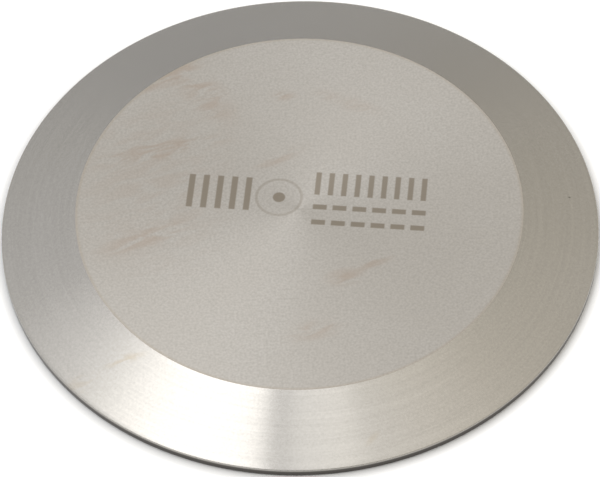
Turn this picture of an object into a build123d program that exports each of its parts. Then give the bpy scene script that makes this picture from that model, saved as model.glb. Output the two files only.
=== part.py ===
from build123d import *
from math import cos, radians, sin, sqrt, tan
import os

# Sanitary clamp end cap, 2 1/2 inch: one disc turned from 304 stainless plate.
# The axis is Z. The gasket face lies at Z = 0, and the plain back face is on top.

# Driving sizes, in millimetres.
flange_diameter = 77.4  # outside, the 2 1/2 inch clamp flange
plate_thickness = 4.76  # gasket face to back face, 3/16 inch plate
shoulder_angle = 20.0  # slope of the clamping shoulder, in degrees

seat_arc_radius = 2.34  # round bottom of the gasket seat
seat_depth = 1.57  # below the gasket face
outer_land = 1.2  # flat ring between the seat and the rim's side
web_over_seat = 0.67  # least metal between the seat and the shoulder

# Broken edges, each limited by the narrowest wall beside it.
rim_top_round = 0.15  # where the shoulder meets the rim
rim_bottom_round = 0.3  # where the rim meets the gasket face
seat_lip_break = 0.15  # small flat on both lips of the gasket seat
largest_share_of_wall = 0.4

part_name = "end_cap"

# Sizes that follow from those.
slope = radians(shoulder_angle)
flange_radius = flange_diameter / 2

seat_half_width = sqrt(seat_arc_radius**2 - (seat_arc_radius - seat_depth) ** 2)
seat_radius = flange_radius - outer_land - seat_half_width
seat_centre_height = seat_depth - seat_arc_radius

shoulder_clearance = seat_arc_radius + web_over_seat
rim_height = (
    seat_centre_height
    + (shoulder_clearance - (flange_radius - seat_radius) * sin(slope)) / cos(slope)
)
back_face_radius = flange_radius - (plate_thickness - rim_height) / tan(slope)


def blank_section():
    """Half section of the turned blank: gasket face, rim, shoulder and back face."""
    outline = Polyline(
        (0, 0),
        (flange_radius, 0),
        (flange_radius, rim_height),
        (back_face_radius, plate_thickness),
        (0, plate_thickness),
        close=True,
    )
    return make_face(outline)


def gasket_seat_section():
    """Round form tool that cuts the gasket bead's seat into the gasket face."""
    return Pos(seat_radius, seat_centre_height) * Circle(seat_arc_radius)


def corner_of(section, corner):
    """The section's vertex at the given radius and height."""
    return section.vertices().sort_by_distance(Vector(*corner))[0]


def break_lip(section, lip_radius, wall):
    """Cut a small flat on one lip of the gasket seat, limited by the wall beside it."""
    lip_break = min(seat_lip_break, wall * largest_share_of_wall)
    return chamfer(corner_of(section, (lip_radius, 0)), lip_break)


def round_rim(section, height, radius):
    """Round the rim's corner at this height, limited by the rim."""
    rim_corner = corner_of(section, (flange_radius, height))
    return fillet(rim_corner, min(radius, rim_height * largest_share_of_wall))


def end_cap_section():
    """The finished half section, with its edges broken and a sharp shoulder crest."""
    section = blank_section() - gasket_seat_section()
    section = break_lip(section, seat_radius - seat_half_width, seat_half_width)
    section = break_lip(section, seat_radius + seat_half_width, outer_land)
    section = round_rim(section, 0, rim_bottom_round)
    return round_rim(section, rim_height, rim_top_round)


def end_cap():
    """Turn the section round the cap's axis."""
    return revolve(Plane.XZ * end_cap_section(), Axis.Z)


os.makedirs("parts", exist_ok=True)
export_step(end_cap(), f"parts/{part_name}.step")
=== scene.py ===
import bpy
from math import asin, cos, pi, radians, sin, sqrt, tan
from mathutils import Matrix, Vector


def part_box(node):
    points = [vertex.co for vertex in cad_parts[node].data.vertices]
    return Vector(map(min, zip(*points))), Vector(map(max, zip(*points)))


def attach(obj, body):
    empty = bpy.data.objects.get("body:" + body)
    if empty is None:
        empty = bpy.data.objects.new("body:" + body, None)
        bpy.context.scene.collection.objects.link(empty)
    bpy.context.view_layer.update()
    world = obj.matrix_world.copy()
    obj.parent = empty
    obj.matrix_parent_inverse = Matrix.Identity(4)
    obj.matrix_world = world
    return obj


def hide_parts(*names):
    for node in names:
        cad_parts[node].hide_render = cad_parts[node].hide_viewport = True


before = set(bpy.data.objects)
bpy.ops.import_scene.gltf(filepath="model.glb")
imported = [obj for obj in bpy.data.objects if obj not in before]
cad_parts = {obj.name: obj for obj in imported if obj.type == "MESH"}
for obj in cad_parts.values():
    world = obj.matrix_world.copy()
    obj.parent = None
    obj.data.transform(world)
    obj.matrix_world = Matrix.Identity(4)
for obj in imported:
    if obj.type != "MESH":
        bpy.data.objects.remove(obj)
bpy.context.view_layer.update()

# ---- Turned disc ---------------------------------------------------------------------
# One end cap for a 2 1/2 inch hygienic clamp joint, turned from 304 stainless plate.
# The shoulder, the rim and the gasket face are cut on the lathe, and the back face
# keeps the fine finish of the plate. Lengths are in metres.

flange_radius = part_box("end_cap")[1].x
plate_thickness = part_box("end_cap")[1].z

shoulder_slope = radians(20)
rim_height = 0.001192
back_face_radius = flange_radius - (plate_thickness - rim_height) / tan(shoulder_slope)
rim_top_round = 0.00015
rim_bottom_round = 0.0003
seat_arc_radius = 0.00234
seat_depth = 0.00157
seat_half_width = sqrt(seat_arc_radius**2 - (seat_arc_radius - seat_depth) ** 2)
outer_land = 0.0012
seat_radius = flange_radius - outer_land - seat_half_width
seat_lip_round = 0.00015
smallest_step = 1e-6  # less than this apart counts as the same place


class Wire:
    """An output in a node tree. Sums on wires add the Math nodes that work them out."""

    def __init__(self, socket):
        self.socket = socket

    def node(self, kind, settings=None, output=0, **values):
        return Nodes(self.socket.id_data).node(kind, settings, output, **values)

    def maths(self, operation, other=0.0):
        adder = self.socket.id_data.nodes.new("ShaderNodeMath")
        adder.operation = operation
        connect(self, adder.inputs[0])
        connect(other, adder.inputs[1])
        return Wire(adder.outputs[0])

    def __add__(self, other):
        return self.maths("ADD", other)

    def __sub__(self, other):
        return self.maths("SUBTRACT", other)

    def __rsub__(self, other):
        return (self * -1) + other

    def __mul__(self, other):
        return self.maths("MULTIPLY", other)

    def __truediv__(self, other):
        return self.maths("DIVIDE", other)

    def __pow__(self, other):
        return self.maths("POWER", other)

    def __gt__(self, other):
        return self.maths("GREATER_THAN", other)

    def __rtruediv__(self, other):
        return (self**-1) * other

    __radd__ = __add__
    __rmul__ = __mul__


def connect(value, socket):
    """Link a wire to a node's input, or set the input to a plain value."""
    if isinstance(value, Wire):
        socket.id_data.links.new(value.socket, socket)
    else:
        socket.default_value = value


class Nodes:
    """A node tree, with one method that adds any node to it."""

    def __init__(self, tree):
        self.tree = tree

    def node(self, kind, settings=None, output=0, **values):
        """Add a node, set it up, then feed its inputs: spaces in their names become _."""
        node = self.tree.nodes.new(kind)
        for name, value in (settings or {}).items():
            setattr(node, name, value)
        for name, value in values.items():
            key = name.replace("_", " ")
            inputs = {i.identifier: i for i in node.inputs if i.enabled}
            inputs.update({i.name: i for i in reversed(node.inputs) if i.enabled})
            connect(value, inputs[key] if key in inputs else inputs[name])
        return Wire(node.outputs[output])


def half_section():
    """Corners of the half section as (radius, height, round), out from the gasket side.

    A plain point beside each rounded corner keeps the long flat next to it flat.
    """
    half_angle = asin(seat_half_width / seat_arc_radius)
    steps = 20  # along the round bottom of the gasket seat
    beside = 2 * rim_bottom_round
    seat = []
    for step in range(steps + 1):
        angle = half_angle * (2 * step / steps - 1)
        across = seat_arc_radius * sin(angle)
        up = seat_arc_radius * (cos(angle) - 1) + seat_depth
        lip = seat_lip_round if step in (0, steps) else 0.0
        seat.append((seat_radius + across, up, lip))
    return [
        (0.0, 0.0, 0.0),
        (seat[0][0] - beside, 0.0, 0.0),
        *seat,
        (flange_radius - beside, 0.0, 0.0),
        (flange_radius, 0.0, rim_bottom_round),
        (flange_radius, rim_height, rim_top_round),
        (
            flange_radius - beside * cos(shoulder_slope),
            rim_height + beside * sin(shoulder_slope),
            0.0,
        ),
        (back_face_radius, plate_thickness, 0.0),
        (0.0, plate_thickness, 0.0),
    ]


def section_object():
    """The half section as a chain of edges, with each corner's round as an attribute."""
    corners = half_section()
    mesh = bpy.data.meshes.new("half_section")
    points = [(radius - flange_radius, -height, 0.0) for radius, height, _ in corners]
    edges = [(index, index + 1) for index in range(len(points) - 1)]
    mesh.from_pydata(points, edges, [])
    rounds = mesh.attributes.new("corner_round", "FLOAT", "POINT")
    for index, (_, _, corner_round) in enumerate(corners):
        rounds.data[index].value = corner_round
    piece = bpy.data.objects.new("turned_end_cap", mesh)
    bpy.context.scene.collection.objects.link(piece)
    return piece


def lathe_tree():
    """Round the section's corners, then turn it once round the axis into a closed body."""
    tree = bpy.data.node_groups.new("lathe", "GeometryNodeTree")
    add_input = tree.interface.new_socket
    add_input("Section", in_out="INPUT", socket_type="NodeSocketGeometry")
    add_input("Radius", in_out="INPUT", socket_type="NodeSocketFloat")
    add_input("Steps round", in_out="INPUT", socket_type="NodeSocketInt")
    add_input("Steps in a corner", in_out="INPUT", socket_type="NodeSocketInt")
    add_input("Sharp above", in_out="INPUT", socket_type="NodeSocketFloat")
    add_input("Turned finish", in_out="INPUT", socket_type="NodeSocketMaterial")
    add_input("Back face finish", in_out="INPUT", socket_type="NodeSocketMaterial")
    add_input("Back face above", in_out="INPUT", socket_type="NodeSocketFloat")
    add_input("Body", in_out="OUTPUT", socket_type="NodeSocketGeometry")
    entry = tree.nodes.new("NodeGroupInput")
    given = {socket.name: Wire(socket) for socket in entry.outputs if socket.name}
    nodes = Nodes(tree)
    corner_round = nodes.node(
        "GeometryNodeInputNamedAttribute", {"data_type": "FLOAT"}, Name="corner_round"
    )
    section = nodes.node("GeometryNodeMeshToCurve", Mesh=given["Section"])
    section = nodes.node(
        "GeometryNodeFilletCurve",
        {"mode": "POLY"},
        Curve=section,
        Count=given["Steps in a corner"],
        Radius=corner_round,
    )
    path = nodes.node(
        "GeometryNodeCurvePrimitiveCircle",
        {"mode": "RADIUS"},
        Resolution=given["Steps round"],
        Radius=given["Radius"],
    )
    body = nodes.node("GeometryNodeCurveToMesh", Curve=path, Profile_Curve=section)
    body = nodes.node("GeometryNodeMergeByDistance", Geometry=body, Distance=smallest_step)
    body = nodes.node("GeometryNodeFlipFaces", Mesh=body)
    edge_angle = nodes.node("GeometryNodeInputMeshEdgeAngle")
    body = nodes.node("GeometryNodeSetShadeSmooth", {"domain": "FACE"}, Geometry=body)
    body = nodes.node(
        "GeometryNodeSetShadeSmooth",
        {"domain": "EDGE"},
        Geometry=body,
        Selection=edge_angle > given["Sharp above"],
        Shade_Smooth=False,
    )
    point = nodes.node("GeometryNodeInputPosition")
    height = nodes.node("ShaderNodeSeparateXYZ", output=2, Vector=point)
    body = nodes.node("GeometryNodeRealizeInstances", Geometry=body)
    body = nodes.node(
        "GeometryNodeSetMaterial", Geometry=body, Material=given["Turned finish"]
    )
    body = nodes.node(
        "GeometryNodeSetMaterial",
        Geometry=body,
        Selection=height > given["Back face above"],
        Material=given["Back face finish"],
    )
    leave = tree.nodes.new("NodeGroupOutput")
    connect(body, leave.inputs[0])
    return tree


def run_tree(piece, tree, **values):
    """Run a node tree on a piece with the named inputs, and keep the plain mesh it makes."""
    modifier = piece.modifiers.new("shape", "NODES")
    modifier.node_group = tree
    for socket in tree.interface.items_tree:
        name = socket.name.replace(" ", "_")
        if name in values:
            modifier[socket.identifier] = values[name]
    graph = bpy.context.evaluated_depsgraph_get()
    mesh = bpy.data.meshes.new_from_object(piece.evaluated_get(graph), depsgraph=graph)
    piece.modifiers.clear()
    piece.data = mesh
    mesh.name = piece.name
    return piece


def smooth_step(value, low, high):
    """0 below low, 1 above high, and a smooth rise between them."""
    return value.node(
        "ShaderNodeMapRange",
        {"interpolation_type": "SMOOTHSTEP"},
        Value=value,
        From_Min=low,
        From_Max=high,
    )


def mix_colour(factor, first, second):
    """The first colour where factor is 0, and the second where it is 1."""
    return factor.node(
        "ShaderNodeMix", {"data_type": "RGBA"}, 2, Factor=factor, A=first, B=second
    )


def steel_shader(name, grain):
    """A new bare-metal material whose reflections spread across the circular grain."""
    material = bpy.data.materials.new(name)
    material.use_nodes = True
    shader = material.node_tree.nodes["Principled BSDF"]
    shader.inputs["Metallic"].default_value = 1.0
    shader.inputs["Anisotropic"].default_value = grain
    shader.inputs["Anisotropic Rotation"].default_value = 0.25
    return material, shader


def place_on_piece(nodes):
    """Object coordinates and the distance from the axis, as wires."""
    place = nodes.node("ShaderNodeTexCoord", output=3)
    level = place.node(
        "ShaderNodeVectorMath", {"operation": "MULTIPLY"}, Vector=place, Vector_001=(1, 1, 0)
    )
    radius = level.node("ShaderNodeVectorMath", {"operation": "LENGTH"}, 1, Vector=level)
    return place, radius


def lathe_rings(place, radius, pitch):
    """Fine rings about the axis, 0 to 1, that fade in and out on their way round."""
    turn = place.node(
        "ShaderNodeVectorMath", {"operation": "SCALE"}, Vector=place, Scale=1.5 / radius
    )
    ring = turn.node("ShaderNodeCombineXYZ", Z=radius / pitch)
    point = turn.node("ShaderNodeVectorMath", Vector=turn, Vector_001=ring)
    return point.node("ShaderNodeTexNoise", Vector=point, Scale=1.0, Detail=3.0)


def patches(place, length, width, heading=0, detail=3.0, twist=0.0):
    """Soft uneven patches, 0 to 1, about this long and wide; in millimetres."""
    spot = place.node(
        "ShaderNodeMapping",
        {"vector_type": "TEXTURE"},
        Vector=place,
        Rotation=(0, 0, radians(heading)),
        Scale=(length / 1000, width / 1000, width / 1000),
    )
    return spot.node(
        "ShaderNodeTexNoise", Vector=spot, Scale=1.0, Detail=detail, Distortion=twist
    )


def streak(place, x, y, length, width, heading):
    """1 at the middle of a long soft spot, falling to 0 at its edge; in millimetres."""
    spot = place.node(
        "ShaderNodeMapping",
        {"vector_type": "TEXTURE"},
        Vector=place,
        Location=(x / 1000, y / 1000, plate_thickness),
        Rotation=(0, 0, radians(heading)),
        Scale=(length / 2000, width / 2000, 1),
    )
    away = spot.node("ShaderNodeVectorMath", {"operation": "LENGTH"}, 1, Vector=spot)
    return 1 - smooth_step(away, 0.1, 1.0)


def turned_steel():
    """The shoulder, rim and gasket side: bright, finely turned. The rim's side has a painted dark
    reflection.
    """
    material, shader = steel_shader("turned_steel", 0.9)
    nodes = Nodes(material.node_tree)
    place, radius = place_on_piece(nodes)
    rings = lathe_rings(place, radius, 0.00022)
    cloud = smooth_step(patches(place, 20, 20), 0.35, 0.75)
    grain = patches(place, 0.3, 0.3)
    height = place.node("ShaderNodeSeparateXYZ", output=2, Vector=place)
    below_corner = 1 - smooth_step(height, rim_height - 0.0004, rim_height)
    # The rim's side below its top corner: a painted dark reflection, near black all round.
    rim_painted_dark = (radius > flange_radius - rim_bottom_round) * below_corner
    steel = mix_colour(cloud, (0.49, 0.471, 0.443, 1), (0.478, 0.458, 0.424, 1))
    speckle = rings * 0.5 + grain * 0.9 - 0.4
    steel = mix_colour(speckle, steel, (0.35, 0.335, 0.31, 1))

    wisps = smooth_step(patches(place, 4, 1.0, 12, 4.0, 0.5), 0.4, 0.62)
    smear = streak(place, -22.5, -22.5, 7, 2, 8) + streak(place, -28.5, -24.5, 7, 4, 30) * 0.6
    fleck = streak(place, 8.1, -34.9, 3.4, 1.2, 45) * 0.5
    steel = mix_colour(smear * wisps * 0.4 + fleck * 0.4, steel, (0.38, 0.31, 0.21, 1))
    pit = streak(place, 35.1, 2.1, 0.5, 0.4, 0)
    steel = mix_colour(pit * 0.7, steel, (0.08, 0.07, 0.06, 1))
    # Painted dark reflection: the rim's side is painted near black in place of the dark
    # surroundings it reflects.
    steel = mix_colour(rim_painted_dark, steel, (0.1, 0.093, 0.086, 1))
    connect(steel, shader.inputs["Base Color"])
    connect(0.19 + rings * 0.04 - rim_painted_dark * 0.08, shader.inputs["Roughness"])
    relief = rings.node("ShaderNodeBump", Height=rings, Distance=0.000001, Strength=0.25)
    connect(relief, shader.inputs["Normal"])
    return material


def etched_mark(place):
    """A plain mark burnt in by a laser: bars, a ring and dashes, 31 mm across."""
    spot = place.node(
        "ShaderNodeMapping",
        {"vector_type": "TEXTURE"},
        Vector=place,
        Location=(0.00105, 0.00185, 0.0),
        Rotation=(0, 0, radians(-6.9)),
        Scale=(0.001, 0.001, 0.001),
    )
    across, up = (spot.node("ShaderNodeSeparateXYZ", output=axis, Vector=spot) for axis in (0, 1))
    edge = 0.1

    def between(value, low, high):
        rise = smooth_step(value, low - edge, low + edge)
        return rise * (1 - smooth_step(value, high - edge, high + edge))

    def row(left, low, high, count, pitch, stroke):
        """So many strokes of this width, at an even pitch."""
        start = left - (pitch - stroke) / 2
        step = ((across - start) / pitch).maths("FRACT") * pitch
        inside = between(across, start, start + count * pitch) * between(up, low, high)
        return between(step, left - start, left - start + stroke) * inside

    from_ring = spot.node(
        "ShaderNodeVectorMath",
        {"operation": "DISTANCE"},
        1,
        Vector=spot,
        Vector_001=(-3.6, -0.3, plate_thickness * 1000),
    )
    return (
        row(-15.5, -2.7, 2.7, 5, 1.85, 0.8)
        + row(0.9, 0.5, 4.2, 9, 1.72, 0.7)
        + row(0.9, -1.9, -1.1, 6, 2.56, 1.8)
        + row(0.9, -4.4, -3.6, 6, 2.56, 1.8)
        + between(from_ring, 2.75, 3.1) * 0.4
        + between(from_ring, -1.0, 0.8)
    )


def plate_steel():
    """The back face: the same steel with the plate's duller finish, stained in places."""
    material, shader = steel_shader("plate_steel", 0.45)
    nodes = Nodes(material.node_tree)
    place, radius = place_on_piece(nodes)
    rings = lathe_rings(place, radius, 0.0005)
    cloud = smooth_step(patches(place, 12, 12, 0, 4.0, 0.3), 0.3, 0.7)
    grain = patches(place, 0.3, 0.3)
    steel = mix_colour(cloud, (0.538, 0.513, 0.478, 1), (0.522, 0.494, 0.456, 1))
    speckle = rings * 0.2 + grain * 2.4 - 0.9
    steel = mix_colour(speckle, steel, (0.43, 0.406, 0.372, 1))

    stained = (
        streak(place, -12, 20, 17, 7, -55)
        + streak(place, -17, 23, 14, 5, 30)
        + streak(place, -17.5, 10.5, 24, 4, 12)
        + streak(place, -20, -4, 18, 5, 22) * 0.75
        + streak(place, -2.2, 8.7, 11, 2.8, 28)
        + streak(place, 5.5, -11.3, 7, 4, 10)
        + streak(place, 9.5, -9.3, 7, 2.4, 25)
        + streak(place, 1.5, -19.6, 11, 4.5, 15)
        + streak(place, 7, 17.5, 14, 3.4, -25) * 0.6
        + streak(place, -1.7, 19.1, 5, 2.6, 0)
        + streak(place, -19, 6, 30, 46, 0) * 0.42
    )
    wisps = smooth_step(patches(place, 4.5, 1.3, 20, 5.0, 0.8), 0.36, 0.64)
    stain = (stained * wisps).maths("MINIMUM", 1.0)
    steel = mix_colour(stain * 0.55, steel, (0.42, 0.34, 0.28, 1))
    crest = smooth_step(radius, back_face_radius - 0.0005, back_face_radius)
    steel = mix_colour(crest * 0.35, steel, (0.42, 0.35, 0.26, 1))
    etched = etched_mark(place)
    steel = mix_colour(etched * 0.92, steel, (0.27, 0.235, 0.19, 1))
    connect(steel, shader.inputs["Base Color"])
    finish = 0.36 + rings * 0.03 + stain * 0.03 + etched * 0.1
    connect(finish, shader.inputs["Roughness"])
    relief = rings.node("ShaderNodeBump", Height=rings + grain, Distance=0.000002, Strength=0.2)
    connect(relief, shader.inputs["Normal"])
    return material


end_cap = run_tree(
    section_object(),
    lathe_tree(),
    Radius=flange_radius,
    Steps_round=360,
    Steps_in_a_corner=6,
    Sharp_above=radians(15),
    Turned_finish=turned_steel(),
    Back_face_finish=plate_steel(),
    Back_face_above=plate_thickness - smallest_step,
)
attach(end_cap, "root")
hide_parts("end_cap")

# ---- Stage ---------------------------------------------------------------------------
# A plain pale floor, level with the gasket face.

floor_size = 6.0
floor_mesh = bpy.data.meshes.new("floor")
half = floor_size / 2
floor_mesh.from_pydata(
    [(-half, -half, 0), (half, -half, 0), (half, half, 0), (-half, half, 0)],
    [],
    [(0, 1, 2, 3)],
)
floor = bpy.data.objects.new("floor", floor_mesh)
bpy.context.scene.collection.objects.link(floor)


def seen_directly(nodes):
    """1 for the rays that show a background: to the camera, and from metal or glass."""
    seen = [nodes.node("ShaderNodeLightPath", output=name) for name in (0, 3, 6)]
    return seen[0].maths("MAXIMUM", seen[1]).maths("MAXIMUM", seen[2])


def floor_paint():
    """Matt white paint, lifted to full white where nothing stands near it."""
    material = bpy.data.materials.new("floor_paint")
    material.use_nodes = True
    nodes = Nodes(material.node_tree)
    shader = material.node_tree.nodes["Principled BSDF"]
    shader.inputs["Base Color"].default_value = (0.9, 0.9, 0.9, 1)
    shader.inputs["Roughness"].default_value = 1.0
    shader.inputs["Specular IOR Level"].default_value = 0.0
    openness = nodes.node(
        "ShaderNodeAmbientOcclusion", {"samples": 8}, 1, Distance=0.0016
    )
    shader.inputs["Emission Color"].default_value = (1, 1, 1, 1)
    lift = seen_directly(nodes) * openness**6 * 0.35
    connect(lift, shader.inputs["Emission Strength"])
    return material


floor_mesh.materials.append(floor_paint())


def studio_world():
    """A soft white room: brightest overhead, paler behind the cap than in front of it."""
    world = bpy.data.worlds.new("studio")
    world.use_nodes = True
    nodes = Nodes(world.node_tree)
    way = nodes.node("ShaderNodeTexCoord", output=0)
    window = Vector((0.15, 0.0, 0.985)).normalized()
    sideways, onward, upward = (
        way.node("ShaderNodeSeparateXYZ", output=axis, Vector=way) for axis in range(3)
    )
    toward_window = way.node(
        "ShaderNodeVectorMath", {"operation": "DOT_PRODUCT"}, 1, Vector=way, Vector_001=window
    )
    ceiling = ((toward_window - 1) * 22).maths("EXPONENT") * 0.5
    walls = 0.48 + upward * 0.42
    left = smooth_step(sideways * -1, 0.0, 0.6) * 0.12
    right = smooth_step(sideways, 0.25, 0.55) * 0.05
    far_wall = smooth_step(onward, 0.8, 0.97)
    front = smooth_step(onward * -1, 0.0, 0.7) * (1 - smooth_step(upward, 0.1, 0.6))
    level = (walls + left + right) * (1 - front * 0.5 - far_wall * 0.12) + ceiling
    warm_side = smooth_step(sideways, -0.1, 0.5)
    tint = mix_colour(warm_side, (1.0, 1.0, 1.0, 1), (1.0, 0.955, 0.86, 1))
    background = world.node_tree.nodes["Background"]
    connect(tint, background.inputs["Color"])
    connect(level, background.inputs["Strength"])
    return world


bpy.context.scene.world = studio_world()


def softbox(name, way, width, depth, level):
    """A rectangular lamp over the cap that faces its centre, equally bright all over."""
    lamp = bpy.data.lights.new(name, "AREA")
    lamp.shape = "RECTANGLE"
    lamp.size = width
    lamp.size_y = depth
    lamp.energy = level * width * depth * pi
    lamp_object = bpy.data.objects.new(name, lamp)
    bpy.context.scene.collection.objects.link(lamp_object)
    back = Vector(way).normalized()
    across = (Vector((1, 0, 0)) - back * back.x).normalized()
    turn = Matrix((across, back.cross(across), back)).transposed()
    lamp_object.matrix_world = Matrix.Translation(back * lamp_distance) @ turn.to_4x4()


lamp_distance = 1.2
softbox("overhead_left", (-0.3, 0.08, 0.94), 0.46, 1.05, 1.85)
softbox("overhead_right", (0.045, -0.03, 0.995), 0.23, 1.1, 0.45)

# ---- Camera --------------------------------------------------------------------------
# It looks down on the cap from the front, far off, with a long lens.

camera_height_angle = radians(51.92)
camera_distance = 0.55
camera_roll = radians(-1.98)
aim_below_centre = 0.00093
camera_lens = 254.1
sensor_width = 36.0

camera_data = bpy.data.cameras.new("camera")
camera_data.lens = camera_lens
camera_data.sensor_width = sensor_width
camera = bpy.data.objects.new("camera", camera_data)
bpy.context.scene.collection.objects.link(camera)
out = Vector((0, -cos(camera_height_angle), sin(camera_height_angle)))
turn = out.to_track_quat("Z", "Y").to_matrix() @ Matrix.Rotation(camera_roll, 3, "Z")
camera.matrix_world = Matrix.Translation(
    out * camera_distance - turn.col[1] * aim_below_centre
) @ turn.to_4x4()
bpy.context.scene.camera = camera
bpy.context.scene.view_settings.view_transform = "Standard"
